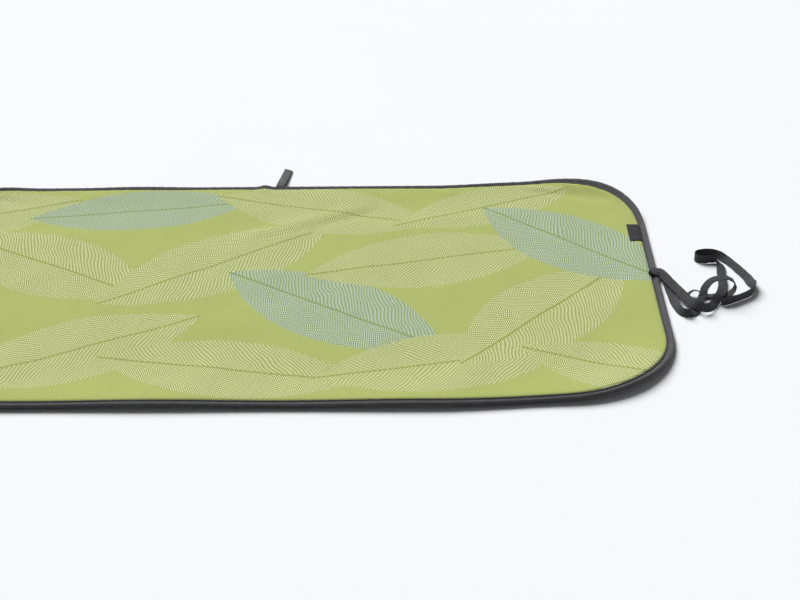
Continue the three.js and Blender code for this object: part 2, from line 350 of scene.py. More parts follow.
def make_piece(name, points, faces, material, cloth_places=None):
    """A piece from points and faces; cloth_places gives every face corner its place on the flat cloth."""
    mesh = bpy.data.meshes.new(name)
    mesh.from_pydata(points, [], faces)
    mesh.polygons.foreach_set("use_smooth", np.ones(len(mesh.polygons), dtype=bool))
    if cloth_places is not None:
        layer = mesh.uv_layers.new(name="cloth")
        layer.data.foreach_set("uv", np.asarray(cloth_places, dtype=np.float32).ravel())
    mesh.materials.append(material)
    return add_object(name, mesh)


def grid_piece(name, points, rows_at, columns_at, material, ring_rows=False, ring_columns=False):
    """A piece from a grid of points. A grid that rings closes on itself, and an open tube gets flat ends."""
    rows, columns = points.shape[:2]
    row = np.arange(rows if ring_rows else rows - 1)[:, None]
    column = np.arange(columns if ring_columns else columns - 1)[None, :]
    row, column = np.broadcast_arrays(row, column)
    row = row.ravel()
    column = column.ravel()
    corners = [(row, column), (row, column + 1), (row + 1, column + 1), (row + 1, column)]
    faces = np.stack([(r % rows) * columns + c % columns for r, c in corners], axis=1)
    places = np.stack([np.stack([rows_at[r], columns_at[c]], axis=1) for r, c in corners], axis=1)
    faces = faces.tolist()
    places = places.reshape(-1, 2).tolist()
    if ring_columns and not ring_rows:
        first = list(range(columns))[::-1]
        last = [(rows - 1) * columns + c for c in range(columns)]
        faces += [first, last]
        places += [[rows_at[0], columns_at[c]] for c in first]
        places += [[rows_at[-1], columns_at[c % columns]] for c in range(columns)]
    return make_piece(name, points.reshape(-1, 3).tolist(), faces, material, places)


def lengths_along(points):
    steps = np.linalg.norm(np.diff(points, axis=0), axis=1)
    return np.concatenate([[0.0], np.cumsum(steps)])


def lengths_around(section):
    return lengths_along(np.vstack([section, section[:1]]))


def unit(vectors):
    return vectors / np.linalg.norm(vectors, axis=1, keepdims=True)


def carried(line, section):
    """A section carried along a line in its plane: each point's place on the plane's two axes."""
    ways = unit(np.gradient(line, axis=0))
    height = section[None, :, 1]
    return line[:, :1] - ways[:, 1:] * height, line[:, 1:] + ways[:, :1] * height


def stand_for(piece, body, node):
    """Puts a piece on its body in the place of a solid, and hides that solid."""
    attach(piece, body)
    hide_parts(node)


def thicken(piece, thickness):
    """Gives a sheet its thickness on the side away from its faces."""
    solid = piece.modifiers.new("thickness", "SOLIDIFY")
    solid.thickness = thickness
    solid.offset = -1


# Node trees

class Nodes:
    """Short calls that add nodes to a tree and join them."""

    def __init__(self, tree):
        self.tree = tree

    def add(self, kind, inputs=None, **settings):
        node = self.tree.nodes.new(kind)
        for key, value in settings.items():
            setattr(node, key, value)
        for key, value in (inputs or {}).items():
            self.put(node.inputs[key], value)
        return node

    def first(self, kind, inputs=None, **settings):
        return self.add(kind, inputs, **settings).outputs[0]

    def put(self, socket, value):
        if isinstance(value, bpy.types.NodeSocket):
            self.tree.links.new(value, socket)
        else:
            socket.default_value = value

    def math(self, operation, a, b=0.0, c=0.0):
        return self.first("ShaderNodeMath", {0: a, 1: b, 2: c}, operation=operation)

    def plus(self, a, b):
        return self.math("ADD", a, b)

    def minus(self, a, b):
        return self.math("SUBTRACT", a, b)

    def times(self, a, b):
        return self.math("MULTIPLY", a, b)

    def over(self, a, b):
        return self.math("DIVIDE", a, b)

    def times_plus(self, a, b, c):
        return self.math("MULTIPLY_ADD", a, b, c)

    def blend(self, share, a, b):
        node = self.add("ShaderNodeMix", {"Factor": share}, data_type="RGBA")
        self.put(node.inputs[6], a)
        self.put(node.inputs[7], b)
        return node.outputs[2]

    def ramp(self, value, low, high, to_low=0.0, to_high=1.0):
        inputs = {"Value": value, "From Min": low, "From Max": high, "To Min": to_low, "To Max": to_high}
        return self.first("ShaderNodeMapRange", inputs, interpolation_type="SMOOTHSTEP")

    def object_place(self):
        return self.add("ShaderNodeTexCoord").outputs["Object"]

    def noise(self, place, scale, detail=2.0, stretch=(1, 1, 1)):
        spread = self.first("ShaderNodeMapping", {"Vector": place, "Scale": stretch})
        inputs = {"Vector": spread, "Scale": scale, "Detail": detail}
        return self.first("ShaderNodeTexNoise", inputs)


def new_group(name, vectors, values, outputs):
    """An empty shader group with named sockets: returns the tree, its helper and the two end nodes."""
    tree = bpy.data.node_groups.new(name, "ShaderNodeTree")
    for title in vectors:
        tree.interface.new_socket(title, in_out="INPUT", socket_type="NodeSocketVector")
    for title, value in values.items():
        socket = tree.interface.new_socket(title, in_out="INPUT", socket_type="NodeSocketFloat")
        socket.default_value = value
    for title in outputs:
        tree.interface.new_socket(title, in_out="OUTPUT", socket_type="NodeSocketFloat")
    nodes = Nodes(tree)
    return tree, nodes, nodes.add("NodeGroupInput"), nodes.add("NodeGroupOutput")


def colour(red, green, blue):
    """A colour from its red, green and blue on screen, 0 to 255."""
    parts = np.array([red, green, blue]) / 255
    linear = np.where(parts <= 0.04045, parts / 12.92, ((parts + 0.055) / 1.055) ** 2.4)
    return (*[float(part) for part in linear], 1.0)


def make_weave_group():
    """Plain weave of slightly uneven threads, as tone and height."""
    values = {"Thread Pitch": 0.6 * mm, "Unevenness": 0.1}
    tree, nodes, start, end = new_group("plain weave", ["Place"], values, ["Tone", "Height"])
    place = start.outputs["Place"]
    split = nodes.add("ShaderNodeSeparateXYZ", {0: place})
    turn = nodes.over(math.pi, start.outputs["Thread Pitch"])
    warp = nodes.math("SINE", nodes.times(split.outputs[0], turn))
    weft = nodes.math("SINE", nodes.times(split.outputs[1], turn))
    over = nodes.times(warp, weft)
    slub_along = nodes.noise(place, 1.0, 3.0, (45, 900, 1))
    slub_across = nodes.noise(place, 1.0, 3.0, (900, 45, 1))
    slub = nodes.minus(nodes.plus(slub_along, slub_across), 1.0)
    uneven = nodes.times(slub, start.outputs["Unevenness"])
    tone = nodes.plus(1.0, uneven)
    nodes.put(end.inputs["Tone"], nodes.times_plus(over, 0.03, tone))
    nodes.put(end.inputs["Height"], nodes.plus(nodes.times(over, 0.5), slub))
    return tree


def make_twill_group():
    """Slanting ribs of a twill strip, as tone and height."""
    values = {"Rib Pitch": 0.9 * mm}
    tree, nodes, start, end = new_group("twill ribs", ["Place"], values, ["Tone", "Height"])
    place = start.outputs["Place"]
    split = nodes.add("ShaderNodeSeparateXYZ", {0: place})
    turn = nodes.over(2 * math.pi, start.outputs["Rib Pitch"])
    slant = nodes.plus(split.outputs[0], split.outputs[1])
    rib = nodes.math("SINE", nodes.times(slant, turn))
    thread = nodes.math("SINE", nodes.times(split.outputs[1], nodes.times(turn, 1.7)))
    fuzz = nodes.noise(place, 900.0, 3.0)
    relief = nodes.times_plus(thread, 0.35, rib)
    tone = nodes.times_plus(relief, 0.05, nodes.times_plus(fuzz, 0.3, 0.85))
    nodes.put(end.inputs["Tone"], tone)
    nodes.put(end.inputs["Height"], nodes.times_plus(fuzz, 0.8, relief))
    return tree


def make_leaf_group():
    """One printed leaf: its mask, and rows of short dashes that slant away from its midrib."""
    values = {
        "Turn": 0.0,
        "Half Length": 200 * mm,
        "Half Width": 70 * mm,
        "Row Pitch": 3.1 * mm,
        "Dash Pitch": 4.8 * mm,
    }
    tree, nodes, start, end = new_group("leaf of dashes", ["Place", "Middle"], values, ["Leaf", "Dash"])
    take = start.outputs
    row_slant = -0.75
    row_wander = 26 * mm
    row_offset = 0.47
    vein_slope = 1.25
    dash_half_width = 0.24
    dash_half_length = 0.37
    off = nodes.add("ShaderNodeVectorMath", {0: take["Place"], 1: take["Middle"]}, operation="SUBTRACT")
    back = nodes.times(take["Turn"], -1.0)
    turned = nodes.add("ShaderNodeVectorRotate", {"Vector": off.outputs[0], "Angle": back})
    turned.rotation_type = "Z_AXIS"
    split = nodes.add("ShaderNodeSeparateXYZ", {0: turned.outputs[0]})
    along = split.outputs[0]
    aside = nodes.math("ABSOLUTE", split.outputs[1])
    share = nodes.over(along, take["Half Length"])
    room = nodes.times_plus(nodes.times(share, share), -1.0, 1.0)
    depth = nodes.minus(nodes.times(room, take["Half Width"]), aside)
    inside = nodes.ramp(depth, 0.0, 1.2 * mm)
    rib_free = nodes.ramp(aside, 1.3 * mm, 2.1 * mm)
    wander = nodes.minus(nodes.noise(take["Place"], 16.0, 1.0), 0.5)
    sweep = nodes.times_plus(aside, row_slant, along)
    sweep = nodes.times_plus(wander, row_wander, sweep)
    rows = nodes.over(sweep, take["Row Pitch"])
    row = nodes.math("FLOOR", rows)
    off_row = nodes.minus(nodes.math("FRACT", rows), 0.5)
    vein = nodes.over(nodes.times(aside, vein_slope), take["Dash Pitch"])
    vein = nodes.times_plus(row, row_offset, vein)
    off_dash = nodes.minus(nodes.math("FRACT", vein), 0.5)
    wide = nodes.over(off_row, dash_half_width)
    long = nodes.over(off_dash, dash_half_length)
    reach = nodes.plus(nodes.times(wide, wide), nodes.times(long, long))
    dash = nodes.ramp(reach, 1.25, 0.75)
    nodes.put(end.inputs["Leaf"], inside)
    nodes.put(end.inputs["Dash"], nodes.times(nodes.times(dash, rib_free), inside))
    return tree


plain_weave = make_weave_group()
twill_ribs = make_twill_group()
leaf_of_dashes = make_leaf_group()


# Materials

def new_material(name, roughness, specular=0.2, sheen=0.0):
    material = bpy.data.materials.new(name)
    material.use_nodes = True
    nodes = Nodes(material.node_tree)
    shader = material.node_tree.nodes["Principled BSDF"]
    shader.inputs["Roughness"].default_value = roughness
    shader.inputs["Specular IOR Level"].default_value = specular
    shader.inputs["Sheen Weight"].default_value = sheen
    shader.inputs["Sheen Roughness"].default_value = 0.5
    return material, nodes, shader


def use_group(nodes, tree, inputs):
    node = nodes.add("ShaderNodeGroup")
    node.node_tree = tree
    for key, value in inputs.items():
        nodes.put(node.inputs[key], value)
    return node.outputs


def tint(nodes, tone, base):
    """A colour made lighter or darker by a tone round 1."""
    grey = nodes.first("ShaderNodeCombineColor", {0: tone, 1: tone, 2: tone})
    node = nodes.add("ShaderNodeMix", {"Factor": 1.0}, data_type="RGBA", blend_type="MULTIPLY")
    nodes.put(node.inputs[6], base)
    nodes.put(node.inputs[7], grey)
    return node.outputs[2]


def dress(nodes, shader, tone, base, height, strength, distance):
    """Gives a shader its colour under a tone, and its relief."""
    nodes.put(shader.inputs["Base Color"], tint(nodes, tone, base))
    inputs = {"Height": height, "Strength": strength, "Distance": distance}
    nodes.put(shader.inputs["Normal"], nodes.first("ShaderNodeBump", inputs))


def make_cover_cotton():
    """Green cotton with a print of large leaves in pale and bluish dashes."""
    material, nodes, shader = new_material("printed_cotton", roughness=0.9)
    place = nodes.object_place()
    ground = colour(175, 185, 108)
    # Ground and ink of each print
    pale_print = (colour(151, 161, 85), colour(244, 248, 200))
    blue_print = (colour(140, 156, 98), colour(214, 232, 226))
    # Middle x and y, turn in degrees, half length and half width in millimetres, and whether the ink is blue
    leaves = [
        (-500, 215, 20, 190, 80, False),
        (-560, -20, 62, 180, 78, False),
        (-450, -210, -12, 185, 78, True),
        (-330, 60, -30, 200, 84, False),
        (-215, 240, 8, 185, 68, True),
        (-245, -185, 28, 195, 80, False),
        (-70, 60, 36, 205, 86, False),
        (-20, -235, -10, 190, 74, False),
        (85, 235, -16, 190, 76, False),
        (115, -75, -34, 200, 84, True),
        (255, 70, 14, 195, 82, False),
        (275, -220, 12, 185, 74, False),
        (345, 245, 24, 160, 60, False),
        (425, -85, 48, 190, 82, False),
        (480, 120, -42, 185, 80, True),
        (520, -240, -24, 150, 62, False),
    ]
    cloth = ground
    for x, y, turn, half_length, half_width, blue in leaves:
        leaf = use_group(nodes, leaf_of_dashes, {
            "Place": place,
            "Middle": (x * mm, y * mm, 0),
            "Turn": math.radians(turn),
            "Half Length": half_length * mm,
            "Half Width": half_width * mm,
        })
        leaf_ground, ink = blue_print if blue else pale_print
        cloth = nodes.blend(leaf["Leaf"], cloth, leaf_ground)
        cloth = nodes.blend(leaf["Dash"], cloth, ink)
    weave = use_group(nodes, plain_weave, {"Place": place, "Thread Pitch": 0.7 * mm, "Unevenness": 0.22})
    dress(nodes, shader, weave["Tone"], cloth, weave["Height"], strength=0.35, distance=0.15 * mm)
    return material


def make_plain_cotton(name, base):
    material, nodes, shader = new_material(name, roughness=0.9)
    place = nodes.object_place()
    weave = use_group(nodes, plain_weave, {"Place": place, "Thread Pitch": 0.8 * mm, "Unevenness": 0.3})
    dress(nodes, shader, weave["Tone"], base, weave["Height"], strength=0.5, distance=0.2 * mm)
    return material


def make_twill(name, base, rib_pitch, roughness, specular):
    """Twill that follows the strip, by its own flat places."""
    material, nodes, shader = new_material(name, roughness, specular, sheen=0.05)
    place = nodes.first("ShaderNodeUVMap", uv_map="cloth")
    ribs = use_group(nodes, twill_ribs, {"Place": place, "Rib Pitch": rib_pitch})
    worn = nodes.noise(place, 60.0, 2.0)
    tone = nodes.times(ribs["Tone"], nodes.ramp(worn, 0.3, 0.7, 0.9, 1.1))
    dress(nodes, shader, tone, base, ribs["Height"], strength=0.6, distance=0.15 * mm)
    return material


def make_fibre(name, base, scale):
    """Felt or foam: a mottled, matt mass."""
    material, nodes, shader = new_material(name, roughness=1.0)
    place = nodes.object_place()
    fibres = nodes.noise(place, scale, 6.0)
    tone = nodes.ramp(fibres, 0.25, 0.75, 0.8, 1.15)
    dress(nodes, shader, tone, base, fibres, strength=0.6, distance=0.4 * mm)
    return material


def make_thread(name, base):
    """Twisted sewing thread."""
    material, nodes, shader = new_material(name, roughness=0.6, sheen=0.1)
    place = nodes.object_place()
    strands = nodes.noise(place, 2500.0, 2.0)
    tone = nodes.ramp(strands, 0.3, 0.7, 0.8, 1.2)
    dress(nodes, shader, tone, base, strands, strength=0.4, distance=0.1 * mm)
    return material


cover_cotton = make_cover_cotton()
backing_cotton = make_plain_cotton("backing_cotton", colour(201, 198, 187))
grey_binding = make_twill("binding_twill", colour(71, 71, 73), 1.1 * mm, 0.45, 0.16)
grey_tape = make_twill("tape_twill", colour(69, 69, 72), 0.9 * mm, 0.7, 0.1)
# Painted light: the loop is the same grey tape as the tie, given a lighter colour so that it looks more
# brightly lit
painted_light_loop_tape = make_twill("loop_twill_painted_light", colour(93, 93, 95), 0.9 * mm, 0.7, 0.1)
grey_label = make_twill("label_satin", colour(48, 48, 51), 0.4 * mm, 0.6, 0.1)
needled_felt = make_fibre("needled_felt", colour(216, 211, 196), 420.0)
soft_foam = make_fibre("soft_foam", colour(230, 226, 210), 650.0)
grey_thread = make_thread("grey_thread", colour(62, 62, 64))


# Stitches

def make_stitch_tree():
    """Rows of slim stitches along lines."""
    tree = bpy.data.node_groups.new("row of stitches", "GeometryNodeTree")
    sockets = tree.interface
    sockets.new_socket("Lines", in_out="INPUT", socket_type="NodeSocketGeometry")
    for title in ("Pitch", "Stitch Length", "Thread Radius"):
        sockets.new_socket(title, in_out="INPUT", socket_type="NodeSocketFloat")
    sockets.new_socket("Thread", in_out="INPUT", socket_type="NodeSocketMaterial")
    sockets.new_socket("Stitches", in_out="OUTPUT", socket_type="NodeSocketGeometry")
    nodes = Nodes(tree)
    take = nodes.add("NodeGroupInput").outputs
    line = nodes.first("GeometryNodeMeshToCurve", {"Mesh": take["Lines"]})
    spots = nodes.first("GeometryNodeResampleCurve", {"Curve": line, "Length": take["Pitch"]}, mode="LENGTH")
    tangent = nodes.first("GeometryNodeInputTangent")
    turn = nodes.first("FunctionNodeAlignRotationToVector", {"Vector": tangent}, axis="X")
    bead = nodes.first("GeometryNodeMeshUVSphere", {"Segments": 6, "Rings": 5, "Radius": 1.0})
    half = nodes.times(take["Stitch Length"], 0.5)
    radius = take["Thread Radius"]
    size = nodes.first("ShaderNodeCombineXYZ", {0: half, 1: radius, 2: radius})
    along_x = (0, math.pi / 2, 0)
    laid = nodes.first("GeometryNodeTransform", {"Geometry": bead, "Rotation": along_x})
    inputs = {"Points": spots, "Instance": laid, "Rotation": turn, "Scale": size}
    rows = nodes.first("GeometryNodeInstanceOnPoints", inputs)
    real = nodes.first("GeometryNodeRealizeInstances", {"Geometry": rows})
    soft = nodes.first("GeometryNodeSetShadeSmooth", {"Geometry": real})
    sewn = nodes.first("GeometryNodeSetMaterial", {"Geometry": soft, "Material": take["Thread"]})
    nodes.add("NodeGroupOutput", {"Stitches": sewn})
    return tree


stitch_tree = make_stitch_tree()


def sew(name, lines, stitch, body):
    """Stitches along lines of points, each line with a mark for whether it closes on itself."""
    pitch, stitch_length, thread_radius = stitch
    points = []
    edges = []
    for line, closed in lines:
        first = len(points)
        count = len(line)
        points += [tuple(point) for point in line]
        edges += [(first + i, first + i + 1) for i in range(count - 1)]
        if closed:
            edges.append((first + count - 1, first))
    mesh = bpy.data.meshes.new(name)
    mesh.from_pydata(points, edges, [])
    piece = add_object(name, mesh)
    sewing = piece.modifiers.new("sewing", "NODES")
    sewing.node_group = stitch_tree
    values = {
        "Pitch": pitch,
        "Stitch Length": stitch_length,
        "Thread Radius": thread_radius,
        "Thread": grey_thread,
    }
    for item in stitch_tree.interface.items_tree:
        if item.name in values:
            sewing[item.identifier] = values[item.name]
    evaluated = piece.evaluated_get(bpy.context.evaluated_depsgraph_get())
    sewn = bpy.data.meshes.new_from_object(evaluated)
    piece.modifiers.remove(sewing)
    piece.data = sewn
    sewn.name = name
    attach(piece, body)
    return piece


# Layers of the pad

def steps_in(first, last, step):
    return np.linspace(first, last, max(2, int(round((last - first) / step)) + 1))


def layer_grid(edge_inset, step, edge_insets):
    """Grid of places over the pad: rows across its depth, each row from end to end, closer near the edge."""
    near = np.array(edge_insets) - edge_inset
    half_y = back_y - edge_inset
    inner = steps_in(-half_y + near[-1], half_y - near[-1], step)
    rows = np.concatenate([-half_y + near[:-1], inner, half_y - near[-2::-1]])
    over_y = np.maximum(np.abs(rows) - straight_y / 2, 0)
    radius = corner_radius - edge_inset
    half_x = straight_x / 2 + np.sqrt(np.maximum(radius ** 2 - over_y ** 2, 0))
    share = steps_in(-1, 1, step / end_x)[None, :]
    inner_x = share * (half_x - near[-1])[:, None]
    left = -half_x[:, None] + near[None, :-1]
    right = half_x[:, None] - near[None, -2::-1]
    x = np.concatenate([left, inner_x, right], axis=1)
    y = np.broadcast_to(rows[:, None], x.shape)
    return x, y


def layer_piece(name, x, y, z, material, thickness):
    points = np.stack([*lying(x, y), z], axis=2)
    rows_at = y[:, 0]
    columns_at = x[len(x) // 2]
    piece = grid_piece(name, points, rows_at, columns_at, material)
    thicken(piece, thickness)
    return piece


fine_insets = [inset * mm for inset in (5, 8, 10, 10.8, 10.95, 11.2, 11.7, 12.4, 13.8, 16.5, 20, 25, 32)]
coarse_insets = [inset * mm for inset in (5, 10.5, 16, 23, 32)]


def cover_lie(x, y):
    """Height of the cover's top before it settles."""
    return pad_lift(x, y) + crown_height(pad_height, inset_of(x, y)) + cover_waves(x, y)


settle_columns = int(end_x / settle_step)
settle_rows = int(back_y / settle_step)


def settle_cover():
    """Lets a coarse copy of the cover, sewn down round its edge and cut a little loose, settle in waves.

    Returns how far each place of its grid rises, up to a cap.
    """
    across = np.arange(-settle_columns, settle_columns + 1) * settle_step
    along = np.arange(-settle_rows, settle_rows + 1) * settle_step
    x, y = np.meshgrid(across, along)
    start = np.stack([x, y, cover_lie(x, y)], axis=2)
    loose = grid_piece("loose_cover", start, along, across, cover_cotton)
    at_seam = inset_of(x, y).ravel() < sewn_inset
    sewn = loose.vertex_groups.new(name="sewn")
    sewn.add(np.flatnonzero(at_seam).tolist(), 1.0, "REPLACE")
    sewn.add(np.flatnonzero(~at_seam).tolist(), loose_hold, "REPLACE")
    cloth = loose.modifiers.new("settling", "CLOTH")
    cloth.collision_settings.use_collision = False
    settings = cloth.settings
    settings.quality = 6
    settings.mass = 0.05
    settings.tension_stiffness = 20
    settings.compression_stiffness = 20
    settings.shear_stiffness = 20
    settings.bending_stiffness = 8
    settings.shrink_min = -looseness
    settings.vertex_group_mass = "sewn"
    settings.effector_weights.gravity = 0
    scene = bpy.context.scene
    for moment in range(1, settle_frames + 1):
        scene.frame_set(moment)
    ended = loose.evaluated_get(bpy.context.evaluated_depsgraph_get()).data
    places = np.empty(start.size, dtype=np.float32)
    ended.vertices.foreach_get("co", places)
    rise = places.reshape(start.shape)[:, :, 2] - start[:, :, 2]
    bpy.data.objects.remove(loose)
    scene.frame_set(1)
    for _ in range(2):
        rise[1:-1] = 0.25 * (rise[:-2] + 2 * rise[1:-1] + rise[2:])
        rise[:, 1:-1] = 0.25 * (rise[:, :-2] + 2 * rise[:, 1:-1] + rise[:, 2:])
    return settle_cap * np.tanh(rise / settle_cap)


settled = settle_cover()


def settled_rise(x, y):
    """How far the cover has risen at a place, on a smooth surface through the settled grid."""
    column = np.clip(x / settle_step + settle_columns, 1, 2 * settle_columns - 2)
    row = np.clip(y / settle_step + settle_rows, 1, 2 * settle_rows - 2)
    c = np.floor(column).astype(int)
    r = np.floor(row).astype(int)
    beside = (-1, 0, 1, 2)
    lines = [between(*[settled[r + i, c + j] for j in beside], column - c) for i in beside]
    return between(*lines, row - r)


def cover_top(x, y):
    return cover_lie(x, y) + settled_rise(x, y)


def make_cover():
    x, y = layer_grid(cover_tuck, cover_step, fine_insets)
    cover = layer_piece("cover", x, y, cover_top(x, y), cover_cotton, cover_thickness)
    stand_for(cover, "pad", "cover_cloth")


def make_filling(name, node, level, thickness, material):
    """A soft layer inside the pad, a little clear of its neighbours."""
    x, y = layer_grid(cover_tuck, filling_step, coarse_insets)
    inset = inset_of(x, y)
    slack = filling_slack * smooth(inset, 8 * mm, 30 * mm) + filling_clearance
    crown = crown_height(level, inset, filling_groove)
    waves = (cover_waves(x, y) + settled_rise(x, y)) * (level / pad_height) ** 2
    z = pad_lift(x, y) + crown + waves - slack
    filling = layer_piece(name, x, y, z, material, thickness)
    stand_for(filling, "pad", node)


def make_backing():
    x, y = layer_grid(cover_tuck, backing_step, coarse_insets)
    inset = inset_of(x, y)
    z = pad_lift(x, y) + crown_height(backing_thickness, inset)
    backing = layer_piece("backing", x, y, z, backing_cotton, backing_thickness)
    stand_for(backing, "pad", "backing_cloth")


make_filling("foam", "foam_layer", foam_top, foam_thickness * filling_share, soft_foam)
make_filling("felt", "felt_layer", felt_top, felt_thickness * filling_share, needled_felt)
make_backing()
make_cover()


# Binding

def binding_profile():
    """Section of the folded strip as inset and height: its top lip, its outside, then its inside.

    The seam presses the strip down, and the lip inside the seam stands up against the cover.
    """
    lip = [(11.2, 4.9), (10.9, 5.2), (10.5, 5.0), (10.2, 4.4), (9.8, 3.9), (9.1, 3.6)]
    outside = [(inset * mm, height * mm) for inset, height in lip]
    groove_inset = 8.4 * mm
    crest_inset = 3.6 * mm
    crest_height = 6.2 * mm
    for share in (0.0, 0.12, 0.26, 0.42, 0.6, 0.8):
        inset = groove_inset + (crest_inset - groove_inset) * share
        rise = 0.5 - 0.5 * math.cos(math.pi * share)
        outside.append((inset, seam_height + (crest_height - seam_height) * rise))
    steps = 12
    half = crest_height / 2
    for step in range(steps + 1):
        angle = math.pi * (0.5 - step / steps)
        outside.append((crest_inset - crest_inset * math.cos(angle), half + half * math.sin(angle)))
    for inset in (5.0, 8.0, 10.2):
        outside.append((inset * mm, 0.0))
    outside.append((binding_width, 0.3 * mm))
    low = binding_ply - 0.1 * mm
    high = seam_height - binding_ply
    inside = [(binding_width, low), (6 * mm, low), (2 * mm, half), (6 * mm, high), (9.4 * mm, high)]
    inside += [(10.4 * mm, 3.4 * mm), (10.95 * mm, 4.4 * mm)]
    return np.array(outside + inside)


def make_binding():
    profile = binding_profile()
    count = 760
    travel = np.arange(count) * outline_length / count
    x, y, out_x, out_y = outline(travel)
    inset = profile[:, 0][None, :]
    height = profile[:, 1][None, :]
    along = travel[:, None]
    ripple = wave(along, outline_length / 173, 0.0) * wave(along, outline_length / 17, 0.7)
    ripple = ripple + 0.6 * wave(along, outline_length / 271, 1.4)
    on_lip = smooth(inset, 4 * mm, binding_width) * (height > roll_radius)
    inset = inset + lip_waver * ripple * on_lip
    place_x = x[:, None] - out_x[:, None] * inset
    place_y = y[:, None] - out_y[:, None] * inset
    on_top = smooth(height, roll_radius, edge_height)
    z = height + pad_lift(place_x, place_y) + top_ripple * ripple * on_top
    points = np.stack([*lying(place_x, place_y), z], axis=2)
    rows_at = np.arange(count + 1) * outline_length / count
    columns_at = lengths_around(profile)
    binding = grid_piece("binding", points, rows_at, columns_at, grey_binding, True, True)
    stand_for(binding, "pad", "edge_binding")


def seam_line(inset, height):
    count = 900
    x, y, out_x, out_y = outline(np.arange(count) * outline_length / count)
    x = x - out_x * inset
    y = y - out_y * inset
    return np.stack([*lying(x, y), height + pad_lift(x, y)], axis=1)


make_binding()
top_seam = (seam_line(top_seam_inset, seam_height + 0.12 * mm), True)
under_seam = (seam_line(under_seam_inset, 0.0), True)
sew("binding_seam", [top_seam, under_seam], binding_stitch, "pad")


# Flat tape

def tape_section():
    """Section of the tape as share of its half width and height: folded in two, pressed at its two seams."""
    face = tape_thickness / 2
    side = [(-0.97, 0.6), (-0.92, 0.92), (-0.82, 1.0), (-0.72, 0.7), (-0.62, 1.0), (-0.3, 1.1), (0.0, 1.12)]
    side += [(0.3, 1.1), (0.62, 1.0), (0.72, 0.7), (0.82, 1.0), (0.92, 0.95), (0.98, 0.75), (1.0, 0.45)]
    side += [(0.985, 0.15)]
    slit = [(0.9, 0.0)]
    fold = [(-1.0, 0.0)]
    under = [(share, -height) for share, height in side[::-1]]
    return np.array(side + slit + under + fold) * [1, face]


seam_share = 0.72


def sweep_tape(name, node, middles, sides, widths, slack):
    """A strip of the tape along its middle line, with stitches along both seams of both its faces.

    Its width lies in the given directions, draws in by a share, and hollows and wrinkles as far as its slack.
    """
    section = tape_section()
    travel = lengths_along(middles)
    ways = unit(np.gradient(middles, axis=0))
    square = smooth(travel, 0, 9 * mm)[:, None]
    across = unit(sides - square * ways * np.sum(sides * ways, axis=1, keepdims=True))
    through = unit(np.cross(ways, across))
    flank = np.asarray(widths) * tape_width / 2
    level = 1 - np.abs(across[:, 2])
    waver = slack * level * 0.5 * (wave(travel, 47 * mm, 0.2) + 0.6 * wave(travel, 19 * mm, 1.9))
    hollow = slack * (wave(travel, 83 * mm, 0.9) + 0.7 * wave(travel, 37 * mm, 2.2))
    crumpled = slack * smooth(wave(travel, 59 * mm, 1.1), -0.4, 0.8)

    def surface(share, height):
        dip = hollow * (share * share - 0.35)
        crease = crumpled * 0.5 * wave(travel + 4.5 * mm * share, 10.5 * mm, 0.3)
        crease = crease + crumpled * 0.3 * wave(travel - 3.0 * mm * share, 6.1 * mm, 2.0)
        aside = across * (share * flank + waver)[:, None]
        return middles + aside + through * (height + dip + crease)[:, None]

    points = np.stack([surface(share, height) for share, height in section], axis=1)
    columns_at = lengths_around(section * [tape_width / 2, 1])
    tape = grid_piece(name, points, travel, columns_at, grey_tape, False, True)
    face = 0.38 * tape_thickness
    rows = [(surface(side, height), False) for side in (-seam_share, seam_share) for height in (-face, face)]
    seam = sew(name + "_seam", rows, tape_stitch, "pad")
    stand_for(tape, "pad", node)
    return tape, seam


# Route of each tail from the fold, in millimetres and degrees: way out from the end of the pad, way along it,
# height of the lower edge, then the heading and the tilt of the tape's width
upper_tail_route = [
    (4, -8.5, 10.6, 50, 10), (9, -20, 8.2, 36, 18), (16.5, -38, 6.5, 28, 20), (25, -62, 6.5, 27, 25),
    (33.5, -86, 5.4, 30, 40), (41, -100, 5.6, 50, 62), (50.5, -106.5, 4.4, 90, 75),
    (60, -102.5, 2.2, 130, 64), (67.5, -92, 1.6, 148, 44), (75, -77, 2.8, 153, 29),
    (83.5, -61, 5.4, 155, 20), (90, -40, 4.8, 165, 14), (93.6, -15, 3, 173, 9), (96, 8, 1.6, 177, 8),
    (98, 27, 1, 188, 16), (95.5, 37.5, 0.6, 222, 48), (87, 41.5, 0.3, 255, 78), (75.5, 41.5, 0.2, 262, 88),
    (65.5, 44.5, 0.2, 230, 90), (62.5, 51.5, 0.2, 180, 90), (66.5, 59, 0.2, 122, 88), (77, 62, 0.3, 92, 84),
    (89.5, 60.5, 0.6, 75, 68), (100.5, 56, 0.8, 52, 44), (109.2, 47.5, 0.8, 34, 22),
    (117, 33.5, 0.8, 26, 15), (124.5, 15.5, 0.7, 21, 14), (131.2, -5, 0.6, 15, 18),
    (134, -21.5, 0.5, 9, 30), (136.2, -33.5, 0.3, -2, 58), (135.8, -43.5, 0.2, -25, 82),
    (131, -54.5, 0.2, -48, 88), (120.5, -64.5, 0.2, -55, 86), (109, -73, 0.2, -60, 82),
    (97, -79.5, 0.2, -66, 80), (88, -83, 0.2, -72, 82), (80.5, -84.5, 0.2, -78, 86),
]
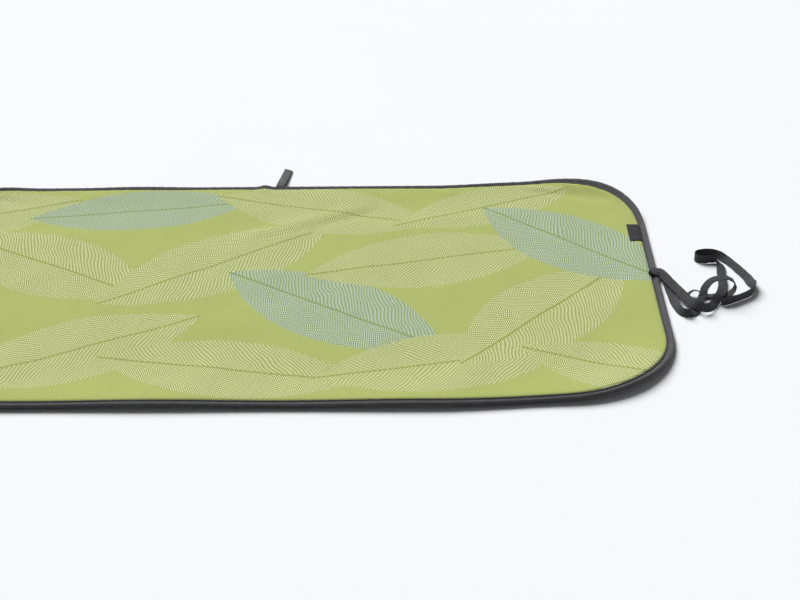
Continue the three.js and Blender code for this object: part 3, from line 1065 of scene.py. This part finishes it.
lower_tail_route = [
    (7, -7.5, 4.3, 55, 2), (10.4, -19, 3, 35, 3), (12, -38, 1.6, 20, 8), (13.4, -62, 1, 15, 9),
    (15, -86, 0.7, 15, 38), (17.6, -105, 0.4, 28, 70), (23.5, -115, 0.2, 72, 84),
    (31.5, -114.5, 0.2, 115, 60), (37.5, -107.5, 0.5, 136, 22), (42.5, -98, 1.1, 142, 5),
    (47.5, -87.5, 3.6, 140, 3), (53.5, -78, 11.2, 132, 0), (58.5, -69.5, 22, 120, 0),
    (67.5, -63, 30, 111, 0), (82.5, -58.8, 32.6, 103, 0), (94, -56.5, 30.2, 97, 0),
    (102.5, -54.5, 22.9, 94, 0), (105, -53.5, 13.2, 94, 0), (99.5, -54.5, 4.8, 95, 0),
    (89.5, -56.5, 1.2, 96, 0), (75, -58.5, 0.5, 97, 0), (61, -59.5, 2, 96, -10), (52.5, -59, 6.6, 95, -22),
    (45, -58.5, 8, 93, -25), (39, -59, 5.6, 92, -22), (35.5, -60, 2.6, 92, -14),
]


def tail_places(route, start_lift, steps):
    """Middle points and width directions along a tail, from the sewn fold to its free end."""
    def leaving(reach):
        out = (reach * math.cos(tie_turn) - tie_seam_inset) / mm
        along = -reach * math.sin(tie_turn) / mm
        return (out, along, start_lift / mm, 90 - math.degrees(tie_turn), 0)

    rows = [leaving(tie_reach - tape_width / 2), leaving(tie_reach - 0.1 * mm), *route]
    rows = np.array(rows)
    rows = np.vstack([rows, 2 * rows[-1] - rows[-2]])
    shares = np.arange(steps)[:, None] / steps
    spans = [between(*rows[i:i + 4], shares) for i in range(len(rows) - 3)]
    line = np.vstack([*spans, rows[-2]])
    out, along, lift, heading, tilt = line.T
    heading = np.radians(heading)
    tilt = np.radians(tilt)
    level = np.cos(tilt)
    z = lift * mm + tape_thickness / 2 * level + tape_width / 2 * np.abs(np.sin(tilt))
    middles = np.stack([end_x + out * mm, tie_middle_y + along * mm, z], axis=1)
    sides = np.stack([level * np.cos(heading), level * np.sin(heading), np.sin(tilt)], axis=1)
    return middles, sides


def make_tail(name, node, route, start_lift):
    middles, sides = tail_places(route, start_lift, 14)
    travel = lengths_along(middles)
    widths = tape_ease + 0.012 * wave(travel, 37 * mm, 0.6) + 0.01 * wave(travel, 13 * mm, 2.0)
    slack = tape_slack * smooth(travel, 0, 30 * mm)
    tail, seam = sweep_tape(name, node, middles, sides, widths, slack)


make_tail("upper_tail", "tie_tail_upper", upper_tail_route, tie_hump - tape_thickness / 2)
make_tail("lower_tail", "tie_tail_lower", lower_tail_route, edge_height)


# Tie fold on the binding

def make_tie_fold():
    """The middle of the tape, sewn on the binding and turned back over itself in a gathered loop."""
    lower_z = edge_height + tape_thickness / 2
    fold_z = lower_z + tie_fold_radius
    upper_z = fold_z + tie_fold_radius
    flat = [(reach, lower_z) for reach in np.linspace(tie_reach, -tie_fold_back, 10)]
    bend = []
    for angle in np.linspace(-math.pi / 2, -3 * math.pi / 2, 18)[1:]:
        off = tie_fold_radius * math.cos(angle)
        bend.append((-tie_fold_back + off, fold_z + tie_fold_radius * math.sin(angle)))
    hump = []
    for share in np.linspace(0, 1, 12)[1:]:
        reach = -tie_fold_back + (tie_reach + tie_fold_back) * share
        hump.append((reach, upper_z + (tie_hump - upper_z) * float(smooth(share, 0, 1))))
    line = np.array(flat + bend + hump)
    way = np.array([math.cos(tie_turn), -math.sin(tie_turn)])
    middles = np.stack([
        end_x - tie_seam_inset + line[:, 0] * way[0],
        tie_middle_y + line[:, 0] * way[1],
        line[:, 1],
    ], axis=1)
    sides = np.tile([-way[1], way[0], 0.0], (len(middles), 1))
    widths = tape_ease - tie_gather * (1 - smooth(line[:, 0], -tie_fold_back, tie_reach))
    fold, seam = sweep_tape("fold_of_tie", "tie_fold", middles, sides, widths, np.zeros(len(middles)))


make_tie_fold()


# Hanging loop

def make_loop():
    """A length of the tape doubled back on itself, sewn flat at its foot and going down to the table."""
    half = loop_gap / 2 + tape_thickness / 2
    fold_out = loop_length - loop_gap / 2 - tape_thickness
    out = np.linspace(tape_thickness * 0.3, fold_out, 40)
    off = tape_thickness / 2 + (half - tape_thickness / 2) * smooth(out, loop_sewn_length, fold_out)
    top = np.stack([-off, out], axis=1)
    angles = np.linspace(math.pi, 0, 15)[1:-1]
    over = np.stack([half * np.cos(angles), fold_out + half * np.sin(angles)], axis=1)
    under = np.stack([off, out], axis=1)[::-1]
    line = np.vstack([top, over, under])
    section = tape_section() * [tape_width / 2, 1]
    across = section[None, :, 0]
    off_middle, reach = carried(line, section)
    pressed = loop_foot_press + (1 - loop_foot_press) * smooth(reach, 0, 2 * loop_sewn_length)
    share = smooth(reach, 0, loop_length)
    drop = loop_pivot_z - loop_gap / 2 - tape_thickness - 0.2 * mm
    rise = loop_rise * bell(reach, *loop_rise_place)
    x = loop_middle_x + across + loop_lean * reach
    y = back_y - loop_seam_inset + reach - loop_slope * across * share
    z = loop_pivot_z - drop * smooth(reach, loop_sewn_length, loop_drop_length) + rise - off_middle * pressed
    points = np.stack([x, y, z], axis=2)
    columns_at = lengths_around(section)
    # The loop's tape carries painted light: a lighter copy of the grey tape
    loop = grid_piece("loop_of_tape", points, lengths_along(line), columns_at, painted_light_loop_tape, False, True)
    stand_for(loop, "loop", "hanging_loop")


make_loop()


# Label

def make_label():
    """Two plies of woven satin joined by the fold at the free edge, lying on the cover beside the root."""
    ply = label_ply
    half = label_slit / 2 + ply / 2
    fold_reach = label_reach - half - ply / 2
    reach = np.linspace(label_bend, fold_reach, 16)
    lower = np.stack([reach, np.full_like(reach, -half)], axis=1)
    angles = np.linspace(-math.pi / 2, math.pi / 2, 9)[1:-1]
    fold = np.stack([fold_reach + half * np.cos(angles), half * np.sin(angles)], axis=1)
    upper = np.stack([reach, np.full_like(reach, half)], axis=1)[::-1]
    line = np.vstack([lower, fold, upper])
    flank = label_length / 2
    face = ply / 2
    places = label_face_share * flank * np.linspace(-1, 1, 33)
    above = [(place, face) for place in places]
    below = [(place, -face) for place in places[::-1]]
    section = np.array([*above, (flank, 0.0), *below, (-flank, 0.0)])
    along, off = carried(line, section)
    x = end_x - label_root_inset - along
    y = label_middle_y + np.broadcast_to(section[None, :, 0], x.shape)
    curl = label_curl * (section[None, :, 0] / flank) ** 4 * smooth(along, 5 * mm, label_reach)
    z = cover_top(x, y - end_shift) + label_gap + label_slit / 2 + ply + off + curl
    points = np.stack([x, y, z], axis=2)
    columns_at = lengths_around(section)
    label = grid_piece("woven_label", points, lengths_along(line), columns_at, grey_label, False, True)
    stand_for(label, "tag", "label")


def make_label_root():
    """The part of the label that is sewn in under the lip of the binding."""
    root = np.linspace(label_tuck_inset, label_root_inset + label_bend - 0.1 * mm, 12)
    flank = np.linspace(-label_length / 2, label_length / 2, 33)
    inset, along = np.meshgrid(root, flank)
    x = end_x - inset
    y = label_middle_y + along
    z = cover_top(x, y - end_shift) + label_gap + label_slit + 2 * label_ply - label_root_sink
    points = np.stack([x, y, z], axis=2)
    sewn_in = grid_piece("label_root", points, flank, root, grey_label)
    thicken(sewn_in, label_ply)
    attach(sewn_in, "pad")


make_label()
make_label_root()


# Floor, light and camera

def make_floor():
    material, nodes, shader = new_material("white_table", roughness=0.8)
    place = nodes.object_place()
    cloud = nodes.noise(place, 2.0, 2.0)
    tone = nodes.ramp(cloud, 0.2, 0.8, 0.985, 1.0)
    nodes.put(shader.inputs["Base Color"], tint(nodes, tone, colour(247, 248, 252)))
    reach = 6.0
    level = -0.15 * mm
    points = [(-reach, -reach, level), (reach, -reach, level), (reach, reach, level), (-reach, reach, level)]
    floor = make_piece("floor", points, [(0, 1, 2, 3)], material)


def make_lamp():
    """A broad soft light from behind the pad and a little to the left."""
    lamp = bpy.data.lights.new("studio_light", "SUN")
    lamp.energy = 3.84
    lamp.angle = math.radians(40)
    holder = add_object("studio_light", lamp)
    height = math.radians(46)
    aside = math.radians(36)
    way = (math.sin(aside) * math.cos(height), -math.cos(aside) * math.cos(height), -math.sin(height))
    holder.rotation_euler = Vector(way).to_track_quat("-Z", "Y").to_euler()


def make_world():
    world = bpy.data.worlds.new("studio")
    bpy.context.scene.world = world
    world.use_nodes = True
    nodes = Nodes(world.node_tree)
    background = world.node_tree.nodes["Background"]
    path = nodes.add("ShaderNodeLightPath").outputs
    seen = nodes.math("MAXIMUM", path["Is Camera Ray"], path["Is Glossy Ray"])
    seen = nodes.math("MAXIMUM", seen, path["Is Transmission Ray"])
    background.inputs["Color"].default_value = (1, 1, 1, 1)
    nodes.put(background.inputs["Strength"], nodes.ramp(seen, 0.0, 1.0, 0.12, 1.0))


def make_camera():
    pitch = math.radians(30.84)
    yaw = math.radians(-1.735)
    roll = math.radians(-1.186)
    ahead = np.array([
        math.sin(yaw) * math.cos(pitch),
        math.cos(yaw) * math.cos(pitch),
        -math.sin(pitch),
    ])
    level = np.array([math.cos(yaw), -math.sin(yaw), 0])
    upright = np.cross(level, ahead)
    right = level * math.cos(roll) + upright * math.sin(roll)
    up = np.cross(right, ahead)
    camera = bpy.data.cameras.new("camera")
    camera.sensor_width = 36
    camera.lens = 67.05
    holder = add_object("camera", camera)
    place = np.array([270, -1930.8, 1128]) * mm
    turn = np.stack([right, up, -ahead, place], axis=1)
    holder.matrix_world = Matrix(np.vstack([turn, [0, 0, 0, 1]]).tolist())
    bpy.context.scene.camera = holder


make_floor()
make_lamp()
make_world()
make_camera()
bpy.context.scene.view_settings.view_transform = "Standard"
